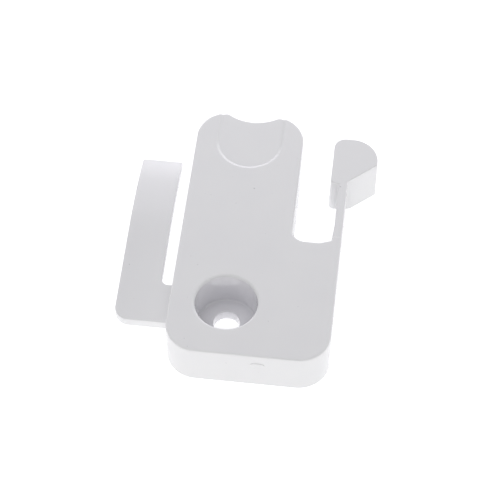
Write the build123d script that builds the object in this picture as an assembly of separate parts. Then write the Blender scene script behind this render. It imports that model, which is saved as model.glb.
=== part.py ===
from build123d import *
import os
from math import cos, radians, sin, tan

# One-piece moulded stair gate latch, in millimetres.
# The origin is on the screw axis in the mounting plane. +Z points out of the top face,
# +Y along the tongue to its notched end, and +X towards the spring catch.

# Driving dimensions: housing
THICKNESS = 10.2
WALL = 1.8                # perimeter walls
TOP_PLATE = 2.0
TONGUE_WIDTH = 22.8
BLOCK_RIGHT = 21.7        # outer face of the block on the catch side
FRONT_Y = -12.4
SLOT_Y = 16.8             # closed end of the slot beside the tongue
END_Y = 49.15             # tips of the two lobes
FRONT_CORNER = 6.4
LOBE_CORNER = 6.6
SLOT_CORNER = 2.8
NOTCH_RADIUS = 9.3
NOTCH_DEPTH = 1.75
LOBE_TIP_ROUND = 0.9
EDGE_ROUND = 0.45         # outer top and bottom edges

# Driving dimensions: thumb recess
RECESS_DEPTH = 0.35
RECESS_RADIUS = 6.35      # of the recess's flat floor
RECESS_CENTRE_Y = 41.5
RECESS_SLOPE = 68         # degrees between the recess's sloped edge and the vertical

# Driving dimensions: screw seat
COUNTERBORE_RADIUS = 6.35
COUNTERBORE_FLOOR_Z = 2.0
SCREW_HOLE_RADIUS = 2.7
RIM_ROUND = 0.55

# Driving dimensions: ribs on the open back
RIB_WIDTH = 1.6
RIB_SETBACK = 0.5         # rib edges lie this far inside the mounting plane
CROSS_RIB_YS = {"cross_rib_near": 17.0, "cross_rib_far": 31.0}

# Driving dimensions: spring catch
BLADE = 1.8               # thickness of the catch finger and of the leaf spring
CATCH_PIVOT_Y = 19.5      # centre of the finger's flexing root
RAMP_START_X = 17.2
RAMP_RISE = 0.85
RAMP_ROUND = 1.0
NIB_LEFT = 18.1
NIB_RIGHT = 27.55
NIB_BOTTOM = 32.8
NIB_TOP = 44.65
NIB_HEEL_Y = 38.2         # outer end of the slanted retaining face
NIB_NOSE_RADIUS = 5.5
NIB_BACK_RADIUS = 2.4
NIB_FOOT_RADIUS = 1.75
SEAT_CLEARANCE = 0.05     # running clearance round each flexing root

# Driving dimensions: leaf spring
LEAF_LEFT = -23.2
LEAF_RIGHT = -14.5
TAB_FRONT_Y = -1.45
TAB_END_Y = 7.65          # closed end of the gap between leaf and block
TAB_CORNER = 3.0
GAP_CORNER = 1.1          # at the gap's closed end, beside the leaf
TAB_TOP_Z = 2.6           # top of the tab at its front edge
TAB_THICKNESS = 2.45
LEAF_RISE = 4.05          # degrees that the tab and the leaf's first part climb towards +Y
LEAF_PIVOT_Y = 9.5
LEAF_BEND_Y = 20.0        # where the leaf starts to curve down
LEAF_BEND_RADIUS = 57.6   # of the leaf's middle surface
LEAF_BEND_ANGLE = 20.9    # degrees from the start of the curve to the tip

HALF_TONGUE = TONGUE_WIDTH / 2
CEILING_Z = THICKNESS - TOP_PLATE
FINGER_LEFT = BLOCK_RIGHT - BLADE
CATCH_PIVOT_X = BLOCK_RIGHT - BLADE / 2
BOSS_RADIUS = COUNTERBORE_RADIUS + WALL


def box_between(low, high):
    """A box between two corners."""
    size = [b - a for a, b in zip(low, high)]
    middle = [(a + b) / 2 for a, b in zip(low, high)]
    return Pos(*middle) * Box(*size)


def rectangle_between(x_low, y_low, x_high, y_high):
    middle = Pos((x_low + x_high) / 2, (y_low + y_high) / 2)
    return middle * Rectangle(x_high - x_low, y_high - y_low)


def round_bar(radius, z_low, z_high):
    """A cylinder on the screw axis."""
    return Pos(0, 0, (z_low + z_high) / 2) * Cylinder(radius, z_high - z_low)


def corner(sketch, x, y):
    """The sketch's vertex nearest to (x, y)."""
    return sketch.vertices().sort_by_distance((x, y, 0))[0]


def rounded(sketch, x, y, radius):
    return fillet(corner(sketch, x, y), radius)


def edges_at(shape, z):
    """Edges that lie flat in the plane at height z."""
    return shape.edges().filter_by_position(Axis.Z, z - 0.01, z + 0.01)


# ---------------------------------------------------------------- housing

def housing_outline(inset=0.0):
    """Block and tongue: an L with round corners and a notched end, or a line inside it."""
    left, right = inset - HALF_TONGUE, BLOCK_RIGHT - inset
    front, slot, end = FRONT_Y + inset, SLOT_Y - inset, END_Y - inset
    outline = rectangle_between(left, front, right, slot)
    outline += rectangle_between(left, front, -left, end)
    outline = rounded(outline, left, front, FRONT_CORNER - inset)
    outline = rounded(outline, right, front, FRONT_CORNER - inset)
    outline = rounded(outline, -left, slot, SLOT_CORNER + inset)
    outline = rounded(outline, left, end, LOBE_CORNER - inset)
    outline = rounded(outline, -left, end, LOBE_CORNER - inset)
    notch_y = END_Y - NOTCH_DEPTH + NOTCH_RADIUS
    outline -= Pos(0, notch_y) * Circle(NOTCH_RADIUS + inset)
    if inset < LOBE_TIP_ROUND:
        half_notch = (NOTCH_RADIUS**2 - (NOTCH_RADIUS - NOTCH_DEPTH)**2) ** 0.5
        for side in (-1, 1):
            outline = rounded(outline, side * half_notch, END_Y, LOBE_TIP_ROUND - inset)
    return outline


def finger_stub_outline():
    """The fixed start of the catch finger, with its ramp up from the slot's closed end."""
    stub = rectangle_between(FINGER_LEFT, SLOT_Y - WALL, BLOCK_RIGHT, CATCH_PIVOT_Y)
    ramp = Polygon(
        (RAMP_START_X, SLOT_Y),
        (RAMP_START_X, SLOT_Y - WALL),
        (FINGER_LEFT, SLOT_Y - WALL),
        (FINGER_LEFT, SLOT_Y + RAMP_RISE),
        align=None,
    )
    return rounded(stub + ramp, FINGER_LEFT, SLOT_Y + RAMP_RISE, RAMP_ROUND)


def recess_outline():
    """The U of the thumb recess, left open past the notched end."""
    return Pos(0, RECESS_CENTRE_Y) * Circle(RECESS_RADIUS) + rectangle_between(
        -RECESS_RADIUS, RECESS_CENTRE_Y, RECESS_RADIUS, END_Y + NOTCH_RADIUS)


def cavity():
    """The hollow under the top plate, open at the back."""
    return extrude(housing_outline(WALL), CEILING_Z)


def body_shell():
    outline = housing_outline() + finger_stub_outline()
    shell = extrude(outline, THICKNESS)
    rims = edges_at(shell, THICKNESS) + edges_at(shell, 0)
    shell = fillet(rims, EDGE_ROUND)
    shell -= cavity()
    shell -= round_bar(COUNTERBORE_RADIUS, 0, THICKNESS)
    rim = edges_at(shell, THICKNESS).filter_by(GeomType.CIRCLE)
    shell = fillet(rim.sort_by_distance((0, 0, THICKNESS))[0], RIM_ROUND)
    pad_z = THICKNESS - RECESS_DEPTH
    shell -= Pos(0, 0, CEILING_Z) * extrude(recess_outline(), TOP_PLATE)
    shell -= Pos(0, 0, pad_z) * extrude(recess_outline(), RECESS_DEPTH, taper=-RECESS_SLOPE)
    return shell - catch_knuckle(BLADE / 2 + SEAT_CLEARANCE)


def thumb_pad():
    outline = housing_outline() & recess_outline()
    pad = Pos(0, 0, CEILING_Z) * extrude(outline, TOP_PLATE - RECESS_DEPTH)
    top = edges_at(pad, THICKNESS - RECESS_DEPTH)
    notch_edge = top.sort_by_distance((0, END_Y, THICKNESS))[0]
    return fillet(notch_edge, EDGE_ROUND)


def screw_boss():
    """A tube under the top plate, closed by a web with the screw hole."""
    boss = round_bar(BOSS_RADIUS, 0, CEILING_Z)
    boss -= round_bar(COUNTERBORE_RADIUS, COUNTERBORE_FLOOR_Z, CEILING_Z)
    return boss - round_bar(SCREW_HOLE_RADIUS, 0, COUNTERBORE_FLOOR_Z)


# ---------------------------------------------------------------- ribs

def rib(low, high, keep_clear):
    """A rib between two plan corners, trimmed to the hollow and to its neighbours."""
    blank = box_between((*low, RIB_SETBACK), (*high, CEILING_Z))
    return (blank & cavity()) - keep_clear


def spine_rib():
    half = RIB_WIDTH / 2
    return rib((-half, 0), (half, END_Y), round_bar(BOSS_RADIUS, 0, CEILING_Z))


def cross_rib(y):
    """A rib across the tongue, in two parts with the spine between them."""
    half = RIB_WIDTH / 2
    spine = box_between((-half, 0, 0), (half, END_Y, CEILING_Z))
    reach = HALF_TONGUE - WALL
    return rib((-reach, y - half), (reach, y + half), spine)


def wing_rib():
    half = RIB_WIDTH / 2
    return rib((0, -half), (BLOCK_RIGHT, half), round_bar(BOSS_RADIUS, 0, CEILING_Z))


# ---------------------------------------------------------------- spring catch

def catch_knuckle(radius):
    """The round root of the finger, about the axis that it flexes on."""
    return Pos(CATCH_PIVOT_X, CATCH_PIVOT_Y, THICKNESS / 2) * Cylinder(radius, THICKNESS)


def catch_finger():
    blade = box_between(
        (FINGER_LEFT, CATCH_PIVOT_Y, 0), (BLOCK_RIGHT, NIB_BOTTOM, THICKNESS))
    long_edges = blade.edges().filter_by(Axis.Y)
    return fillet(long_edges, EDGE_ROUND) + catch_knuckle(BLADE / 2)


def nib_outline():
    """Flat inner side, round nose towards +Y, slanted retaining face towards -Y."""
    nose_y = NIB_TOP - NIB_NOSE_RADIUS
    back_x = NIB_LEFT + NIB_BACK_RADIUS
    foot_x = NIB_LEFT + NIB_FOOT_RADIUS
    nose_x = NIB_RIGHT - NIB_NOSE_RADIUS
    path = Line((BLOCK_RIGHT, NIB_BOTTOM), (NIB_RIGHT, NIB_HEEL_Y))
    path += Line((NIB_RIGHT, NIB_HEEL_Y), (NIB_RIGHT, nose_y))
    path += CenterArc((nose_x, nose_y), NIB_NOSE_RADIUS, 0, 90)
    path += Line((nose_x, NIB_TOP), (back_x, NIB_TOP))
    path += CenterArc((back_x, NIB_TOP - NIB_BACK_RADIUS), NIB_BACK_RADIUS, 90, 90)
    path += Line((NIB_LEFT, NIB_TOP - NIB_BACK_RADIUS), (NIB_LEFT, NIB_BOTTOM + NIB_FOOT_RADIUS))
    path += CenterArc((foot_x, NIB_BOTTOM + NIB_FOOT_RADIUS), NIB_FOOT_RADIUS, 180, 90)
    path += Line((foot_x, NIB_BOTTOM), (BLOCK_RIGHT, NIB_BOTTOM))
    return make_face(path)


def catch_nib():
    nib = extrude(nib_outline(), THICKNESS)
    nib = fillet(edges_at(nib, THICKNESS) + edges_at(nib, 0), EDGE_ROUND)
    core = offset(nib_outline(), -WALL)
    return nib - extrude(core, CEILING_Z)


# ---------------------------------------------------------------- leaf spring

def leaf_middle_z(y):
    """Height of the straight part's middle surface."""
    rise = radians(LEAF_RISE)
    return TAB_TOP_Z + (y - TAB_FRONT_Y) * tan(rise) - BLADE / 2 / cos(rise)


def leaf_knuckle(radius):
    """The round root of the leaf, about the axis that it flexes on."""
    middle_x = (LEAF_LEFT + LEAF_RIGHT) / 2
    place = Pos(middle_x, LEAF_PIVOT_Y, leaf_middle_z(LEAF_PIVOT_Y))
    return place * Rot(0, 90, 0) * Cylinder(radius, LEAF_RIGHT - LEAF_LEFT)


def straight_strip(y_low, y_high, x_low, x_high, thickness=BLADE):
    """The climbing flat part of the leaf between two distances along it.

    A thickness over the leaf's own is added below."""
    rise = radians(LEAF_RISE)
    length = (y_high - y_low) / cos(rise)
    middle_y = (y_low + y_high) / 2
    middle = Pos((x_low + x_high) / 2, middle_y, leaf_middle_z(middle_y))
    below = Pos(0, 0, (BLADE - thickness) / 2)
    return middle * Rot(LEAF_RISE, 0, 0) * below * Box(x_high - x_low, length, thickness)


def curved_strip():
    """The leaf's end, bending down about an axis below it."""
    rise = radians(LEAF_RISE)
    centre_y = LEAF_BEND_Y + LEAF_BEND_RADIUS * sin(rise)
    centre_z = leaf_middle_z(LEAF_BEND_Y) - LEAF_BEND_RADIUS * cos(rise)
    start = (LEAF_LEFT, LEAF_BEND_Y, leaf_middle_z(LEAF_BEND_Y))
    along = (0, cos(rise), sin(rise))
    face = Plane(origin=start, x_dir=(1, 0, 0), z_dir=along) * Pos(
        (LEAF_RIGHT - LEAF_LEFT) / 2, 0) * Rectangle(LEAF_RIGHT - LEAF_LEFT, BLADE)
    axis = Axis((0, centre_y, centre_z), (-1, 0, 0))
    return revolve(face, axis, LEAF_BEND_ANGLE)


def leaf_blade():
    blade = straight_strip(LEAF_PIVOT_Y, LEAF_BEND_Y, LEAF_LEFT, LEAF_RIGHT)
    return blade + curved_strip() + leaf_knuckle(BLADE / 2)


def leaf_tab():
    plan = rectangle_between(LEAF_LEFT, TAB_FRONT_Y, -HALF_TONGUE, TAB_END_Y)
    plan += rectangle_between(LEAF_LEFT, TAB_FRONT_Y, LEAF_RIGHT, LEAF_PIVOT_Y)
    plan = rounded(plan, LEAF_LEFT, TAB_FRONT_Y, TAB_CORNER)
    plan = rounded(plan, LEAF_RIGHT, TAB_END_Y, GAP_CORNER)
    slab = straight_strip(2 * TAB_FRONT_Y, 2 * LEAF_PIVOT_Y, LEAF_LEFT, -HALF_TONGUE)
    slab += straight_strip(
        2 * TAB_FRONT_Y, TAB_END_Y - GAP_CORNER, LEAF_LEFT, -HALF_TONGUE, TAB_THICKNESS)
    tab = extrude(plan, THICKNESS) & slab
    return tab - leaf_knuckle(BLADE / 2 + SEAT_CLEARANCE)


# ---------------------------------------------------------------- parts

def build_parts():
    parts = {
        "body_shell": body_shell(),
        "thumb_pad": thumb_pad(),
        "screw_boss": screw_boss(),
        "spine_rib": spine_rib(),
        "wing_rib": wing_rib(),
        "catch_finger": catch_finger(),
        "catch_nib": catch_nib(),
        "leaf_tab": leaf_tab(),
        "leaf_blade": leaf_blade(),
    }
    for name, y in CROSS_RIB_YS.items():
        parts[name] = cross_rib(y)
    return parts


os.makedirs("parts", exist_ok=True)
for name, shape in build_parts().items():
    export_step(shape, f"parts/{name}.step")
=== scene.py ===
from math import acos, atan2, ceil, cos, pi, radians, sin, sqrt, tan

import bmesh
import bpy
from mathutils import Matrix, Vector, noise


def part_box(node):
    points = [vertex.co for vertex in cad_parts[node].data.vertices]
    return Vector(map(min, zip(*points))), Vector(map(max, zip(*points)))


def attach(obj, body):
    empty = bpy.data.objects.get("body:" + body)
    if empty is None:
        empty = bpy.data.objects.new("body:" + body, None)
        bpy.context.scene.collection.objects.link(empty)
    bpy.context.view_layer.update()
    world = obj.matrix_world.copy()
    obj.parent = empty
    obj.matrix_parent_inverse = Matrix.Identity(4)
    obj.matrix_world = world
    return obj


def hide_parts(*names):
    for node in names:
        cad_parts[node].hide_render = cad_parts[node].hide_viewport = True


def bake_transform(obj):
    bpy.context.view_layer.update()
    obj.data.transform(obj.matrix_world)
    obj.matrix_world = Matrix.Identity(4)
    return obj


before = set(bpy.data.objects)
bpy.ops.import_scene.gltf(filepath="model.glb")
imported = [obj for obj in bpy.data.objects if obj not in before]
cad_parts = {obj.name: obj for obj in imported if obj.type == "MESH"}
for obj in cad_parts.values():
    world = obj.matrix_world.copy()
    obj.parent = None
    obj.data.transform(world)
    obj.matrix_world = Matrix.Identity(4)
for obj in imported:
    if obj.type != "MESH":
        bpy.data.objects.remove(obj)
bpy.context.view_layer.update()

# A one-piece white stair gate latch. Shapes are worked out in millimetres, in the part's
# own frame, and new_piece() turns them into metres.
MM = 0.001


def box_mm(node):
    """Lowest and highest corner of a CAD node in millimetres."""
    return [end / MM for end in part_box(node)]


# Sizes that come from the frame
SHELL_LOW, SHELL_HIGH = box_mm("body_shell")
PAD_LOW, PAD_HIGH = box_mm("thumb_pad")
BOSS_HIGH = box_mm("screw_boss")[1]
FINGER_LOW, FINGER_HIGH = box_mm("catch_finger")
NIB_LOW, NIB_HIGH = box_mm("catch_nib")
TAB_LOW, TAB_HIGH = box_mm("leaf_tab")
LEAF_LOW, LEAF_HIGH = box_mm("leaf_blade")
THICKNESS = SHELL_HIGH.z
CEILING_Z = BOSS_HIGH.z
HALF_TONGUE = -SHELL_LOW.x
BLADE = FINGER_HIGH.x - FINGER_LOW.x
RECESS_RADIUS = PAD_HIGH.x
RECESS_CENTRE_Y = PAD_LOW.y + RECESS_RADIUS

# Housing
WALL = 1.8
EDGE_ROUND = 0.45              # outer edge of the top face
PARTING_ROUND = 0.15           # outer edge of the open back
RIM_ROUND = 0.55
BACK_ROUND = 0.25              # inner edges on the open back
CEILING_FILLET = 0.4
FRONT_CORNER = 6.4
SLOT_Y = 16.8                  # closed end of the slot between tongue and finger
SLOT_CORNER = 2.8
CAVITY_CORNER = 0.8
END_Y = 49.15
LOBE_CORNER = 6.6
LOBE_TIP = 0.9
CAVITY_TIP = 0.5
NOTCH_RADIUS = 9.3
NOTCH_DEPTH = 1.75
RECESS_DEPTH = 0.35
SLOPE_WIDTH = 0.87             # of the thumb recess's sloped edge, in plan
SLOPE_ROWS = 6

# Root of the catch finger: a ramp up from the slot's closed end, and a slight flare
SEAM_Y = 18.5                  # the housing's mesh ends here and the catch's begins
RAMP_START_X = 17.2
RAMP_TOP_Y = 17.65
RAMP_CORNER = 0.6
RAMP_FOOT_ROUND = 3.0
FLARE = 0.3
FLARE_START_Y = 21.5
FLARE_ROUND = 20.0
SOFT_EDGE_END = 1.0            # the block's rounder edge runs this far past the flare

# Screw seat
BORE_RADIUS = 6.35
BORE_DRAFT = 0.25              # narrowing of the bore down to its floor
BORE_FLOOR_Z = 2.0
SEAT_RISE = 0.55               # of the floor towards the screw hole
HOLE_RADIUS = 2.7
SEAT_TOP_Z = 9.6
NECK_RADIUS = 7.1              # of the seat inside the top plate
FLOOR_FILLET = 0.4
HOLE_ROUND = 0.15

# Nib of the catch
NIB_ROOT_Y = 33.1              # where the slanted face leaves the finger
NIB_HEEL_Y = 38.2
NIB_NOSE = 5.5
NIB_BACK = 2.4
NIB_FOOT = 1.2
NIB_HEEL_ROUND = 0.5
NIB_ROOT_ROUND = 0.3
ROOT_LIFT = 0.45               # bottom of the slanted face is cut back beside the finger
ROOT_LIFT_END = 1.1            # the cut back ends this far along the slanted face
NIB_INNER_ROUND = 0.2
CORE_CORNER = 0.4
CATCH_ROUND = 0.25             # top edges of finger and nib
FOOT_Y = 32.35                 # front of the nib's foot, beside the finger
FOOT_SETBACK = 0.95            # of the foot's bottom edge from its top edge
FOOT_SPLAY = 0.3               # of the foot's bottom edge away from the finger
FOOT_FADE = 2.2                # the lean fades out over this length of the nib

# Leaf spring
LEAF_RISE = radians(4.05)
LEAF_BEND_Y = 20.0
LEAF_BEND_RADIUS = 57.6
LEAF_BEND_ANGLE = radians(20.9)
TAB_TOP_Z = 2.6
TAB_CORNER = 3.0
TAB_END_Y = 7.65
TAB_THICKNESS = 2.45           # thins to the leaf's over the tab's last TAB_TAPER
TAB_TAPER = 3.6
GAP_CORNER = 1.3
LEAF_TIP_ROUND = 0.45
LEAF_EDGE_ROUND = 0.28
LEAF_BACK_ROUND = 0.12
TAB_OVERLAP = 0.6              # the tab's end lies this deep in the housing's wall

# Ribs on the back
RIB_DRAFT = 0.12               # narrowing of each side from the top plate to the free edge
RIB_ROUND = 0.2
RIB_OVERLAP = 0.3              # ribs reach this deep into what they join
CROSS_RIB_SETBACK = 0.1        # cross ribs stand this much further back than the spine

# Scar of the moulding's gate on the front wall
GATE_X = 7.65
GATE_Z = 7.15
GATE_HALF_WIDTH = 1.45
GATE_HALF_HEIGHT = 0.6
GATE_PROUD = 0.14
GATE_TEAR = 0.05
GATE_TEAR_SCALE = 3
GATE_SIDES = 40
# Rings of the scar: share of its half sizes, and height as a share of GATE_PROUD
GATE_RINGS = ((1.0, -1.0), (1.0, 0.0), (0.93, 0.8), (0.72, 1.0), (0.36, 0.7))

ARC_STEP = radians(5)
ROUND_STEPS = 5                # faces across a small edge round
STATION = 1.2                  # distance between cross sections of the flexing parts
TURNED_STEPS = 96              # sides of a turned surface
ROUND_MIDDLE = 0.3             # share of a small round's size where its middle point lies
MERGE_DISTANCE = 0.001         # closer vertices become one
CUT_TOLERANCE = 1e-4
DIP_TOLERANCE = 1e-5
SHARP_ANGLE = radians(40)

# White plastic. Scales are in features per metre, and depths and the radius in metres.
WHITE = (0.88, 0.88, 0.885)
WHITE_SHADE = (0.867, 0.867, 0.876)
WORN_WHITE = (0.93, 0.93, 0.934)
SPECK_GREY = (0.35, 0.35, 0.37)
CLOUD_SCALE = 110
SPECK_SCALE = 1500
SCUFF_SCALE = 900
PATCH_SCALE = 350
WAVE_SCALE = 240
WAVE_DEPTH = 0.00004
GRAIN_SCALE = 5000
GRAIN_DEPTH = 0.00002
WEAR_RADIUS = 0.0003
COAT_ROUGHNESS = 0.015
# Painted light: the screw seat's white is a little lighter and bluer, standing in for the cool light in
# the shaded bore
SEAT_PAINTED_LIGHT_TINT = (1.01, 1.005, 1.025)
CLOUD_RANGE = (0.35, 0.65)     # noise values between which one white fades to the other
SPECK_RANGE = (0.80, 0.84)
SPECK_STRENGTH = 0.6
SCUFF_ROUGHNESS = 0.12         # added along scuffed edges
WAVE_STRENGTH = 0.12
PLASTIC_IOR = 1.5

# Camera and stage
AIM = Vector((3.3, 13.2, 10.2)) * MM
CAMERA_AZIMUTH = radians(6.54)
CAMERA_ELEVATION = radians(54.15)
CAMERA_DISTANCE = 388.6 * MM
CAMERA_LENS = 136.8
CAMERA_SENSOR = 36
LIGHT_DISTANCE = 0.6
FLOOR_HALF_SIZE = 1.5
FLOOR_GAP = 0.00002
FLOOR_GLOW = 0.5
FLOOR_WHITE = (0.92, 0.92, 0.93, 1)
FLOOR_ROUGHNESS = 0.7
WORLD_WHITE = (0.985, 0.985, 1.0, 1)
WORLD_STRENGTH = 0.405

# Soft boxes: name, azimuth and elevation in degrees, size in metres, watts, colour
COOL = (0.955, 0.94, 1.0)
NEUTRAL = (1.0, 1.0, 1.0)
WARM = (1.0, 0.99, 0.95)
LIGHTS = (
    ("back_low", 180, 14, (0.9, 0.25), 1.44, COOL),
    ("back_mid", 180, 38, (0.9, 0.3), 0.575, COOL),
    ("front_low", -20, 14, (0.9, 0.25), 0.58, WARM),
    ("right_low", 90, 18, (0.7, 0.3), 0.45, NEUTRAL),
    ("left_mid", -90, 50, (0.7, 0.3), 0.3, COOL),
    ("top", 0, 85, (0.7, 0.7), 0.555, NEUTRAL),
)


# ---------------------------------------------------------------- plan outlines

class Spot:
    """A point of a plan outline, the way inwards from it, and the dip of its top edge.

    soften enlarges the round of the top edge. lean is the shift of the bottom edge."""

    def __init__(self, place, inward, dip=0.0):
        self.place = Vector(place)
        self.inward = Vector(inward)
        self.dip = dip
        self.soften = 1.0
        self.lean = Vector((0, 0))

    def mirrored(self):
        flip = Vector((-1, 1))
        return Spot(self.place * flip, self.inward * flip, self.dip)


def arc_at(centre, radius, angles, hollow=False):
    """Spots on an arc at the given angles. A hollow arc has the material outside it."""
    spots = []
    for angle in angles:
        out = Vector((cos(angle), sin(angle)))
        spots.append(Spot(Vector(centre) + out * radius, out if hollow else -out))
    return spots


def spread(start, end, step=ARC_STEP):
    """Evenly spaced angles from start to end."""
    count = max(2, ceil(abs(end - start) / step))
    return [start + (end - start) * k / count for k in range(count + 1)]


def corner(before, at, after, radius):
    """The round between two straight runs of an anticlockwise outline."""
    first = (at - before).normalized()
    second = (after - at).normalized()
    turn = atan2(first.cross(second), first.dot(second))
    left = Vector((-first.y, first.x)) * (1 if turn > 0 else -1)
    start = at - first * radius * tan(abs(turn) / 2)
    angle = atan2(-left.y, -left.x)
    return arc_at(start + left * radius, radius, spread(angle, angle + turn), turn < 0)


def rounded_path(*points):
    """Rounds at the inner points of a path, each given as x, y and radius."""
    flat = [Vector(point[:2]) for point in points]
    spots = []
    for k in range(1, len(points) - 1):
        spots += corner(flat[k - 1], flat[k], flat[k + 1], points[k][2])
    return spots


def rounded_loop(*points):
    return rounded_path(points[-1], *points, points[0])


def recess_dip(spot):
    """How far the housing's top rim drops at this spot, where the thumb recess meets it."""
    rim = spot.place + spot.inward * EDGE_ROUND
    if rim.y < RECESS_CENTRE_Y:
        return 0.0
    share = (RECESS_RADIUS + SLOPE_WIDTH - abs(rim.x)) / SLOPE_WIDTH
    return RECESS_DEPTH * (1 - cos(pi * min(max(share, 0.0), 1.0))) / 2


def lobe_half(inset, tip, crossing_xs=()):
    """Right half of the notched end: the lobe's corner, its small tip, then the notch.

    The rim gets a spot at each of crossing_xs, which run from high to low."""
    lobe = Vector((HALF_TONGUE - LOBE_CORNER, END_Y - LOBE_CORNER))
    notch = Vector((0, END_Y - NOTCH_DEPTH + NOTCH_RADIUS))
    radius = LOBE_CORNER - inset
    to_lobe = radius - tip
    to_notch = NOTCH_RADIUS + inset + tip
    gap = notch - lobe
    along = (to_lobe**2 - to_notch**2 + gap.length_squared) / (2 * gap.length)
    unit = gap.normalized()
    aside = Vector((unit.y, -unit.x)) * sqrt(to_lobe**2 - along**2)
    middle = lobe + unit * along + aside
    tip_start = atan2(middle.y - lobe.y, middle.x - lobe.x)
    tip_end = atan2(notch.y - middle.y, notch.x - middle.x)
    stops = [acos((x - lobe.x) / (radius - EDGE_ROUND)) for x in crossing_xs] or [tip_start]
    angles = spread(0, stops[0]) + stops[1:]
    if crossing_xs:
        angles += spread(stops[-1], tip_start)[1:]
    spots = arc_at(lobe, radius, angles)
    spots += arc_at(middle, tip, spread(tip_start, tip_end, 2 * ARC_STEP)[1:])
    notch_angles = spread(tip_end - pi, -pi / 2, ARC_STEP / 2)[1:]
    return spots + arc_at(notch, NOTCH_RADIUS + inset, notch_angles, hollow=True)


def notched_end(inset, tip, crossing_xs=()):
    right = lobe_half(inset, tip, crossing_xs)
    return right + [spot.mirrored() for spot in reversed(right[:-1])]


def flare_left_x(y):
    """Left side of the finger's root, which widens towards the block."""
    return FINGER_LOW.x - FLARE * (FLARE_START_Y - y) / (FLARE_START_Y - RAMP_TOP_Y)


def flat_end(left_x, right_x, y):
    """The two spots of a cut end, which edge rounds move only sideways."""
    return [Spot((left_x, y), (1, 0)), Spot((right_x, y), (-1, 0))]


def housing_outline():
    """Block and tongue with the fixed start of the catch finger, anticlockwise."""
    spots = rounded_path(
        (-HALF_TONGUE, END_Y),
        (-HALF_TONGUE, SHELL_LOW.y, FRONT_CORNER),
        (SHELL_HIGH.x, SHELL_LOW.y, FRONT_CORNER),
        (SHELL_HIGH.x, SEAM_Y),
    )
    spots += reversed(flat_end(flare_left_x(SEAM_Y), SHELL_HIGH.x, SEAM_Y))
    spots += rounded_path(
        (flare_left_x(SEAM_Y), SEAM_Y),
        (FINGER_LOW.x - FLARE, RAMP_TOP_Y, RAMP_CORNER),
        (RAMP_START_X, SLOT_Y, RAMP_FOOT_ROUND),
        (HALF_TONGUE, SLOT_Y, SLOT_CORNER),
        (HALF_TONGUE, END_Y),
    )
    crossings = [RECESS_RADIUS + SLOPE_WIDTH * (1 - k / SLOPE_ROWS) for k in range(SLOPE_ROWS + 1)]
    spots += notched_end(0.0, LOBE_TIP, crossings)
    for spot in spots:
        spot.dip = recess_dip(spot)
    return spots


def cavity_outline():
    """The hollow on the back, one wall's thickness inside block and tongue."""
    left, right = WALL - HALF_TONGUE, SHELL_HIGH.x - WALL
    front, slot = SHELL_LOW.y + WALL, SLOT_Y - WALL
    return rounded_path(
        (left, END_Y),
        (left, front, FRONT_CORNER - WALL),
        (right, front, FRONT_CORNER - WALL),
        (right, slot, CAVITY_CORNER),
        (-left, slot, SLOT_CORNER + WALL),
        (-left, END_Y),
    ) + notched_end(WALL, CAVITY_TIP)


# ---------------------------------------------------------------- mesh helpers

def rounded_profile(low, low_round, high, high_round):
    """Inset and height up a wall, from its lower rounded edge to its upper one."""
    profile = []
    for k in range(ROUND_STEPS + 1):
        turn = (1 - k / ROUND_STEPS) * pi / 2
        profile.append((low_round * (1 - cos(turn)), low + low_round * (1 - sin(turn))))
    for k in range(ROUND_STEPS + 1):
        turn = k / ROUND_STEPS * pi / 2
        profile.append((high_round * (1 - cos(turn)), high - high_round * (1 - sin(turn))))
    return profile


def arc_profile(centre_r, centre_z, radius, start, end):
    """Points of a small round in a turned section, angles in degrees."""
    angles = [radians(start + (end - start) * k / ROUND_STEPS) for k in range(ROUND_STEPS + 1)]
    return [(centre_r + radius * cos(a), centre_z + radius * sin(a)) for a in angles]


def add_ring(bm, outline, inset, z):
    """One loop of vertices round an outline. Its upper half follows the dips."""
    ring = []
    for spot in outline:
        soften = spot.soften if z > THICKNESS / 2 else 1
        height = z
        if z > THICKNESS / 2:
            height = THICKNESS - (THICKNESS - z) * soften - spot.dip
        place = spot.place + spot.inward * inset * soften + spot.lean * (1 - z / THICKNESS)
        ring.append(bm.verts.new((place.x, place.y, height)))
    return ring


def bridge(bm, rings, closed=True):
    """Faces between rows of vertices."""
    count = len(rings[0])
    for row, above in zip(rings, rings[1:]):
        for k in range(count if closed else count - 1):
            after = (k + 1) % count
            bm.faces.new((row[k], row[after], above[after], above[k]))


def add_walls(bm, outline, profile):
    """Walls up an outline. Returns their rings."""
    rings = [add_ring(bm, outline, inset, z) for inset, z in profile]
    bridge(bm, rings)
    return rings


def add_turned(bm, profile):
    """A surface turned about the screw axis. Returns its rings."""
    rings = []
    for radius, z in profile:
        angles = [2 * pi * k / TURNED_STEPS for k in range(TURNED_STEPS)]
        rings.append([bm.verts.new((radius * cos(a), radius * sin(a), z)) for a in angles])
    bridge(bm, rings)
    return rings


def fill(bm, *loops):
    """Flat faces inside the first loop and outside the others."""
    edges = set()
    for loop in loops:
        for a, b in zip(loop, loop[1:] + loop[:1]):
            edges.add(bm.edges.get((a, b)) or bm.edges.new((a, b)))
    bmesh.ops.triangle_fill(bm, edges=list(edges), use_beauty=True, normal=(0, 0, 1))


def cut_stations(bm, low, high):
    """Cross sections every STATION along Y, so that the part can bend smoothly."""
    count = ceil((high - low) / STATION)
    for k in range(count + 1):
        everything = bm.verts[:] + bm.edges[:] + bm.faces[:]
        place = (0, low + (high - low) * k / count, 0)
        bmesh.ops.bisect_plane(
            bm, geom=everything, dist=CUT_TOLERANCE, plane_co=place, plane_no=(0, 1, 0))


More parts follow.
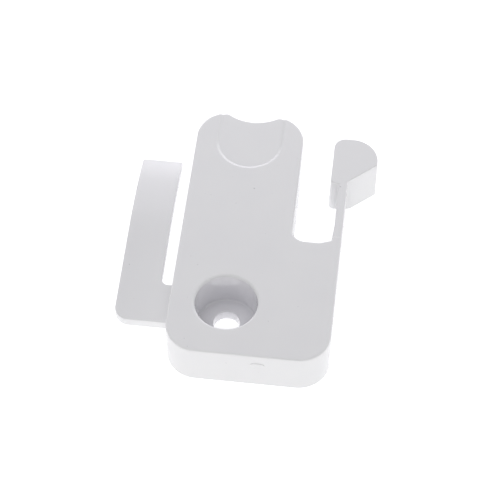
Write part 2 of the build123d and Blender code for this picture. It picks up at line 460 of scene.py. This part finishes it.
def new_piece(name, bm, material, nodes):
    """Turns the finished shape into a smooth-shaded object in metres."""
    bmesh.ops.remove_doubles(bm, verts=bm.verts, dist=MERGE_DISTANCE)
    bmesh.ops.recalc_face_normals(bm, faces=bm.faces)
    bmesh.ops.scale(bm, verts=bm.verts, vec=(MM, MM, MM))
    mesh = bpy.data.meshes.new(name)
    bm.to_mesh(mesh)
    bm.free()
    mesh.shade_smooth()
    mesh.set_sharp_from_angle(angle=SHARP_ANGLE)
    mesh.materials.append(material)
    piece = bpy.data.objects.new(name, mesh)
    bpy.context.scene.collection.objects.link(piece)
    shading = piece.modifiers.new("even_shading", "WEIGHTED_NORMAL")
    shading.keep_sharp = True
    if nodes:
        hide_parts(*nodes)
    return piece


# ---------------------------------------------------------------- pieces

def add_recess(bm, rim):
    """The thumb recess's sloped edge. Returns the loops of the top face and of its floor."""
    dips = [THICKNESS - vert.co.z for vert in rim]
    count = len(rim)
    first = next(k for k in range(count) if dips[k] < DIP_TOLERANCE < dips[(k + 1) % count])
    last = next(k for k in range(count) if dips[(k - 1) % count] > DIP_TOLERANCE > dips[k])
    paths = []
    for row in range(SLOPE_ROWS + 1):
        start, end = rim[first + row], rim[last - row]
        angles = spread(0, -pi, ARC_STEP / 2)
        arc = [
            bm.verts.new((start.co.x * cos(a), RECESS_CENTRE_Y + start.co.x * sin(a), start.co.z))
            for a in angles
        ]
        paths.append([start] + arc + [end])
    bridge(bm, paths, closed=False)
    around = rim[last:] + rim[:first + 1]
    floor_rim = rim[first + SLOPE_ROWS:last - SLOPE_ROWS + 1]
    return around + paths[0][1:-1], floor_rim + paths[-1][-2:0:-1]


def make_housing(material):
    bm = bmesh.new()
    walls = add_walls(bm, housing_outline(), rounded_profile(0, PARTING_ROUND, THICKNESS, EDGE_ROUND))
    top_loop, recess_floor = add_recess(bm, walls[-1])
    neck = add_turned(
        bm,
        arc_profile(BORE_RADIUS + RIM_ROUND, THICKNESS - RIM_ROUND, RIM_ROUND, 90, 180)
        + [(BORE_RADIUS, SEAT_TOP_Z), (NECK_RADIUS, SEAT_TOP_Z), (NECK_RADIUS, CEILING_Z)],
    )
    hollow = add_walls(bm, cavity_outline(), [
        (-BACK_ROUND, 0),
        (-BACK_ROUND * ROUND_MIDDLE, BACK_ROUND * ROUND_MIDDLE),
        (0, BACK_ROUND),
        (0, CEILING_Z - CEILING_FILLET),
        (CEILING_FILLET * ROUND_MIDDLE, CEILING_Z - CEILING_FILLET * ROUND_MIDDLE),
        (CEILING_FILLET, CEILING_Z),
    ])
    fill(bm, top_loop, neck[0])
    fill(bm, recess_floor)
    fill(bm, walls[0], hollow[0])
    fill(bm, hollow[-1], neck[-1])
    return new_piece("housing", bm, material, ["body_shell", "thumb_pad"])


def make_screw_seat(material):
    """The counterbored tube that carries the screw head."""
    outer = BOSS_HIGH.x
    section = [(NECK_RADIUS, CEILING_Z), (NECK_RADIUS, SEAT_TOP_Z), (BORE_RADIUS, SEAT_TOP_Z)]
    foot = BORE_RADIUS - BORE_DRAFT - FLOOR_FILLET
    section += arc_profile(foot, BORE_FLOOR_Z + FLOOR_FILLET, FLOOR_FILLET, 0, -90)
    brim_z = BORE_FLOOR_Z + SEAT_RISE - HOLE_ROUND
    section += arc_profile(HOLE_RADIUS + HOLE_ROUND, brim_z, HOLE_ROUND, 90, 180)
    section += arc_profile(HOLE_RADIUS + HOLE_ROUND, HOLE_ROUND, HOLE_ROUND, 180, 270)
    section += arc_profile(outer - BACK_ROUND, BACK_ROUND, BACK_ROUND, -90, 0)
    section += [(outer, CEILING_Z)]
    bm = bmesh.new()
    rings = add_turned(bm, section)
    bridge(bm, [rings[-1], rings[0]])
    return new_piece("screw_seat", bm, material, ["screw_boss"])


def catch_outline(nib):
    """Finger and nib from the seam round to the seam, given the nib's rounded corners."""
    root_left = flare_left_x(SEAM_Y)
    outline = flat_end(root_left, FINGER_HIGH.x, SEAM_Y)
    root = rounded_path((FINGER_HIGH.x, SEAM_Y), *nib[:2])
    for spot in root:
        spot.lean = Vector((0, ROOT_LIFT))
    slant = Vector(nib[1][:2]) - Vector(nib[0][:2])
    past_root = Vector(nib[0][:2]) + slant.normalized() * ROOT_LIFT_END
    outline += root + [Spot(past_root, Vector((-slant.y, slant.x)).normalized())]
    outline += rounded_path(*nib)
    outline.append(Spot((NIB_LOW.x, FOOT_Y + NIB_FOOT + FOOT_FADE), (1, 0)))
    foot = rounded_path(
        (NIB_LOW.x, NIB_HIGH.y),
        (NIB_LOW.x, FOOT_Y, NIB_FOOT),
        (FINGER_LOW.x, FOOT_Y, NIB_INNER_ROUND),
        (FINGER_LOW.x, SEAM_Y),
    )
    for spot in foot:
        spot.lean = Vector((-FOOT_SPLAY, FOOT_SETBACK))
        if spot.place.y < FOOT_Y:
            spot.lean.x = 0
    outline += foot
    outline += rounded_path(
        (FINGER_LOW.x, NIB_LOW.y),
        (FINGER_LOW.x, FLARE_START_Y, FLARE_ROUND),
        (root_left, SEAM_Y),
    )
    for spot in outline:
        if spot.place.y < FLARE_START_Y + SOFT_EDGE_END:
            spot.soften = EDGE_ROUND / CATCH_ROUND
    return outline


def make_catch(material):
    """Finger and nib in one mesh, hollowed from the back of the nib."""
    nib = [
        (FINGER_HIGH.x, NIB_ROOT_Y, NIB_ROOT_ROUND),
        (NIB_HIGH.x, NIB_HEEL_Y, NIB_HEEL_ROUND),
        (NIB_HIGH.x, NIB_HIGH.y, NIB_NOSE),
        (NIB_LOW.x, NIB_HIGH.y, NIB_BACK),
        (NIB_LOW.x, NIB_LOW.y, NIB_FOOT),
    ]
    bm = bmesh.new()
    walls = add_walls(bm, catch_outline(nib), rounded_profile(0, PARTING_ROUND, THICKNESS, CATCH_ROUND))
    bm.faces.new(walls[-1])
    core_outline = rounded_loop(*[(x, y, max(r, WALL + CORE_CORNER)) for x, y, r in nib])
    core = add_walls(bm, core_outline, [
        (WALL - BACK_ROUND, 0),
        (WALL - BACK_ROUND * ROUND_MIDDLE, BACK_ROUND * ROUND_MIDDLE),
        (WALL, BACK_ROUND),
        (WALL, CEILING_Z - CORE_CORNER / 2),
        (WALL + CORE_CORNER / 2, CEILING_Z),
    ])
    bm.faces.new(core[-1])
    back = walls[0]
    on_nib = [k for k, vert in enumerate(back) if vert.co.y > NIB_LOW.y]
    fill(bm, back[on_nib[0]:on_nib[-1] + 1], core[0])
    bm.faces.new(back[on_nib[-1]:] + back[:on_nib[0] + 1])
    cut_stations(bm, SEAM_Y + STATION, NIB_LOW.y - STATION)
    return new_piece("catch", bm, material, ["catch_finger", "catch_nib"])


def leaf_place(x, s, n):
    """A point of the leaf from its side position, distance along it and height above its middle."""
    run = (LEAF_BEND_Y - TAB_LOW.y) / cos(LEAF_RISE)
    straight = min(s, run)
    turn = LEAF_RISE - max(s - run, 0) / LEAF_BEND_RADIUS
    y = TAB_LOW.y + straight * cos(LEAF_RISE)
    z = TAB_TOP_Z - BLADE / 2 / cos(LEAF_RISE) + straight * sin(LEAF_RISE)
    y += LEAF_BEND_RADIUS * (sin(LEAF_RISE) - sin(turn))
    z += LEAF_BEND_RADIUS * (cos(turn) - cos(LEAF_RISE))
    if n < 0:
        taper = min(max((TAB_END_Y - y) / TAB_TAPER, 0), 1)
        n *= 1 + (TAB_THICKNESS - BLADE) / (BLADE / 2) * taper
    return Vector((x, y - n * sin(turn), z + n * cos(turn)))


def make_leaf(material):
    """Tab and leaf in one mesh: flat at first, then bending down towards the tip."""
    length = (LEAF_BEND_Y - TAB_LOW.y) / cos(LEAF_RISE) + LEAF_BEND_RADIUS * LEAF_BEND_ANGLE
    tab_end = (TAB_END_Y - TAB_LOW.y) / cos(LEAF_RISE)
    wall_x = TAB_HIGH.x + TAB_OVERLAP
    outline = [Spot((wall_x, 0), (0, 1)), Spot((wall_x, tab_end), (0, -1))]
    outline += rounded_path(
        (wall_x, tab_end),
        (LEAF_HIGH.x, tab_end, GAP_CORNER),
        (LEAF_HIGH.x, length, LEAF_TIP_ROUND),
        (LEAF_LOW.x, length, LEAF_TIP_ROUND),
        (LEAF_LOW.x, 0, TAB_CORNER),
        (wall_x, 0),
    )
    bm = bmesh.new()
    half = BLADE / 2
    walls = add_walls(bm, outline, rounded_profile(-half, LEAF_BACK_ROUND, half, LEAF_EDGE_ROUND))
    bm.faces.new(walls[0])
    bm.faces.new(walls[-1])
    cut_stations(bm, STATION, length - STATION)
    for vert in bm.verts:
        vert.co = leaf_place(*vert.co)
    return new_piece("leaf_spring", bm, material, ["leaf_tab", "leaf_blade"])


def make_rib(node, material, setback):
    """A drafted rib under the top plate, with a rounded free edge and its ends in the walls."""
    low, high = box_mm(node)
    lengthwise = high.y - low.y > high.x - low.x
    half = (high.x - low.x if lengthwise else high.y - low.y) / 2
    edge = half - RIB_DRAFT - RIB_ROUND
    middle = 0 if lengthwise else (low.y + high.y) / 2
    free_z = low.z + setback
    section = [(-half, CEILING_Z + RIB_OVERLAP)]
    section += arc_profile(-edge, free_z + RIB_ROUND, RIB_ROUND, 180, 270)
    section += arc_profile(edge, free_z + RIB_ROUND, RIB_ROUND, 270, 360)
    section += [(half, CEILING_Z + RIB_OVERLAP)]
    start, end = (low.y, high.y) if lengthwise else (low.x, high.x)
    bm = bmesh.new()
    rings = []
    for along in (start - RIB_OVERLAP, end + RIB_OVERLAP):
        places = [(middle + off, along) if lengthwise else (along, middle + off) for off, z in section]
        rings.append([bm.verts.new((*place, z)) for place, (off, z) in zip(places, section)])
    bridge(bm, rings)
    bm.faces.new(rings[0])
    bm.faces.new(rings[1])
    return new_piece(node + "_moulded", bm, material, [node])


def make_gate_mark(material):
    """The rough oval scar on the front wall, where the moulding was cut from its sprue."""
    bm = bmesh.new()
    rings = []
    for share, height in GATE_RINGS:
        ring = []
        for k in range(GATE_SIDES):
            angle = 2 * pi * k / GATE_SIDES
            x = GATE_HALF_WIDTH * share * cos(angle)
            z = GATE_HALF_HEIGHT * share * sin(angle)
            tear_at = (GATE_TEAR_SCALE * x, GATE_TEAR_SCALE * z, share)
            torn = GATE_TEAR * noise.noise(tear_at) if share < 1 else 0
            y = SHELL_LOW.y - GATE_PROUD * height - torn
            ring.append(bm.verts.new((GATE_X + x, y, GATE_Z + z)))
        rings.append(ring)
    bridge(bm, rings)
    bm.faces.new(rings[0])
    bm.faces.new(rings[-1])
    return new_piece("gate_mark", bm, material, [])


# ---------------------------------------------------------------- materials

class Nodes:
    """Short calls for building a node material."""

    def __init__(self, name):
        self.material = bpy.data.materials.new(name)
        self.material.use_nodes = True
        self.tree = self.material.node_tree
        self.shader = self.tree.nodes["Principled BSDF"]
        self.coordinates = self.tree.nodes.new("ShaderNodeTexCoord").outputs["Object"]

    def join(self, source, target):
        self.tree.links.new(source, target)

    def noise(self, scale, detail, roughness=0.5, stretch=None):
        """Noise between 0 and 1 with the given number of features per metre."""
        node = self.tree.nodes.new("ShaderNodeTexNoise")
        node.inputs["Scale"].default_value = scale
        node.inputs["Detail"].default_value = detail
        node.inputs["Roughness"].default_value = roughness
        source = self.coordinates
        if stretch:
            mapping = self.tree.nodes.new("ShaderNodeMapping")
            mapping.inputs["Scale"].default_value = stretch
            self.join(source, mapping.inputs["Vector"])
            source = mapping.outputs["Vector"]
        self.join(source, node.inputs["Vector"])
        return node.outputs["Fac"]

    def remap(self, value, low, high, new_low, new_high):
        node = self.tree.nodes.new("ShaderNodeMapRange")
        limits = {"From Min": low, "From Max": high, "To Min": new_low, "To Max": new_high}
        for name, number in limits.items():
            node.inputs[name].default_value = number
        self.join(value, node.inputs["Value"])
        return node.outputs["Result"]

    def math(self, operation, a, b):
        node = self.tree.nodes.new("ShaderNodeMath")
        node.operation = operation
        for source, target in zip((a, b), node.inputs):
            if isinstance(source, (int, float)):
                target.default_value = source
            else:
                self.join(source, target)
        return node.outputs["Value"]

    def mix(self, factor, a, b):
        """Colour a where the factor is 0 and b where it is 1."""
        node = self.tree.nodes.new("ShaderNodeMix")
        node.data_type = "RGBA"
        self.join(factor, node.inputs["Factor"])
        for source, target in ((a, node.inputs["A"]), (b, node.inputs["B"])):
            if isinstance(source, tuple):
                target.default_value = (*source, 1)
            else:
                self.join(source, target)
        return node.outputs["Result"]

    def edges(self, radius):
        """About 1 along edges that are sharper than the radius, and 0 on open faces."""
        rounded = self.tree.nodes.new("ShaderNodeBevel")
        rounded.samples = 4
        rounded.inputs["Radius"].default_value = radius
        geometry = self.tree.nodes.new("ShaderNodeNewGeometry")
        compare = self.tree.nodes.new("ShaderNodeVectorMath")
        compare.operation = "DOT_PRODUCT"
        self.join(rounded.outputs["Normal"], compare.inputs[0])
        self.join(geometry.outputs["Normal"], compare.inputs[1])
        return self.remap(compare.outputs["Value"], 0.995, 0.9, 0, 1)

    def bump(self, height, strength, distance, below=None):
        node = self.tree.nodes.new("ShaderNodeBump")
        node.inputs["Strength"].default_value = strength
        node.inputs["Distance"].default_value = distance
        self.join(height, node.inputs["Height"])
        if below:
            self.join(below, node.inputs["Normal"])
        return node.outputs["Normal"]


def white_plastic(name, gloss, grain=0.04, flow=None, coat=0.0, painted_light_tint=(1, 1, 1)):
    """Moulded white plastic: faint cloudiness, fine surface grain, polished and scuffed edges.

    gloss is the mean roughness. flow stretches the cloudiness along the way the melt ran."""
    made = Nodes(name)
    clouds = made.noise(CLOUD_SCALE, 3, stretch=flow)
    # The tint multiplies both whites; on the seat it is painted cool light, lighter and bluer for the
    # shaded bore
    light, shade = [tuple(a * b for a, b in zip(tone, painted_light_tint)) for tone in (WHITE, WHITE_SHADE)]
    tone = made.mix(made.remap(clouds, *CLOUD_RANGE, 0, 1), light, shade)
    specks = made.noise(SPECK_SCALE, 1)
    dusty = made.mix(made.remap(specks, *SPECK_RANGE, 0, SPECK_STRENGTH), tone, SPECK_GREY)
    worn = made.edges(WEAR_RADIUS)
    scuffs = made.math("MULTIPLY", worn, made.remap(made.noise(SCUFF_SCALE, 4), 0.4, 0.6, 0.2, 1))
    made.join(made.mix(scuffs, dusty, WORN_WHITE), made.shader.inputs["Base Color"])
    patches = made.remap(made.noise(PATCH_SCALE, 4, 0.6), 0.3, 0.7, gloss - 0.03, gloss + 0.05)
    rough = made.math("ADD", patches, made.math("MULTIPLY", scuffs, SCUFF_ROUGHNESS))
    made.join(rough, made.shader.inputs["Roughness"])
    waves = made.bump(made.noise(WAVE_SCALE, 2), WAVE_STRENGTH, WAVE_DEPTH)
    fine = made.bump(made.noise(GRAIN_SCALE, 3), grain, GRAIN_DEPTH, waves)
    made.join(fine, made.shader.inputs["Normal"])
    made.shader.inputs["IOR"].default_value = PLASTIC_IOR
    made.shader.inputs["Coat Weight"].default_value = coat
    made.shader.inputs["Coat Roughness"].default_value = COAT_ROUGHNESS
    return made.material


# ---------------------------------------------------------------- stage

def make_floor():
    """A plain white light table under the part."""
    bm = bmesh.new()
    bmesh.ops.create_grid(bm, x_segments=1, y_segments=1, size=FLOOR_HALF_SIZE)
    mesh = bpy.data.meshes.new("floor")
    bm.to_mesh(mesh)
    bm.free()
    floor = bpy.data.objects.new("floor", mesh)
    floor.location.z = -FLOOR_GAP
    bpy.context.scene.collection.objects.link(floor)
    material = bpy.data.materials.new("floor_white")
    material.use_nodes = True
    shader = material.node_tree.nodes["Principled BSDF"]
    shader.inputs["Base Color"].default_value = FLOOR_WHITE
    shader.inputs["Roughness"].default_value = FLOOR_ROUGHNESS
    shader.inputs["Emission Color"].default_value = (1, 1, 1, 1)
    shader.inputs["Emission Strength"].default_value = FLOOR_GLOW
    mesh.materials.append(material)


def make_light(name, azimuth, elevation, size, power, colour):
    """A rectangular soft light that faces the part from an azimuth and an elevation in degrees."""
    data = bpy.data.lights.new(name, "AREA")
    data.shape = "RECTANGLE"
    data.size, data.size_y = size
    data.energy = power
    data.color = colour
    light = bpy.data.objects.new(name, data)
    a, e = radians(azimuth), radians(elevation)
    back = Vector((sin(a) * cos(e), -cos(a) * cos(e), sin(e)))
    light.location = AIM + back * LIGHT_DISTANCE
    light.rotation_euler = back.to_track_quat("Z", "Y").to_euler()
    bpy.context.scene.collection.objects.link(light)


def make_world():
    world = bpy.data.worlds.new("studio")
    world.use_nodes = True
    shade = world.node_tree.nodes["Background"]
    shade.inputs["Color"].default_value = WORLD_WHITE
    shade.inputs["Strength"].default_value = WORLD_STRENGTH
    bpy.context.scene.world = world


def make_camera():
    data = bpy.data.cameras.new("camera")
    data.sensor_width = CAMERA_SENSOR
    data.lens = CAMERA_LENS
    data.clip_start = 0.01
    camera = bpy.data.objects.new("camera", data)
    a, e = CAMERA_AZIMUTH, CAMERA_ELEVATION
    back = Vector((sin(a) * cos(e), -cos(a) * cos(e), sin(e)))
    camera.location = AIM + back * CAMERA_DISTANCE
    camera.rotation_euler = back.to_track_quat("Z", "Y").to_euler()
    bpy.context.scene.collection.objects.link(camera)
    bpy.context.scene.camera = camera


# ---------------------------------------------------------------- the scene

housing_white = white_plastic("housing_white", 0.2)
# The seat's white is painted light: lighter and bluer than the housing's, for the cool light in its
# shaded bore
seat_white_painted_light = white_plastic("seat_white_painted_light", 0.06, grain=0.02, coat=1.0, painted_light_tint=SEAT_PAINTED_LIGHT_TINT)
rib_white = white_plastic("rib_white", 0.35, grain=0.12)
leaf_white = white_plastic("leaf_white", 0.2, flow=(1, 0.25, 1))
catch_white = white_plastic("catch_white", 0.2, flow=(1, 0.3, 1))

on_body = [make_housing(housing_white), make_screw_seat(seat_white_painted_light), make_gate_mark(housing_white)]
on_body.append(make_rib("spine_rib", rib_white, 0))
on_body.append(make_rib("wing_rib", rib_white, 0))
on_body.append(make_rib("cross_rib_near", rib_white, CROSS_RIB_SETBACK))
on_body.append(make_rib("cross_rib_far", rib_white, CROSS_RIB_SETBACK))
for piece in on_body:
    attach(piece, "latch_body")

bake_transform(make_catch(catch_white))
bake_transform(make_leaf(leaf_white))

make_floor()
make_world()
make_camera()
for light in LIGHTS:
    make_light(*light)
bpy.context.scene.view_settings.view_transform = "Standard"
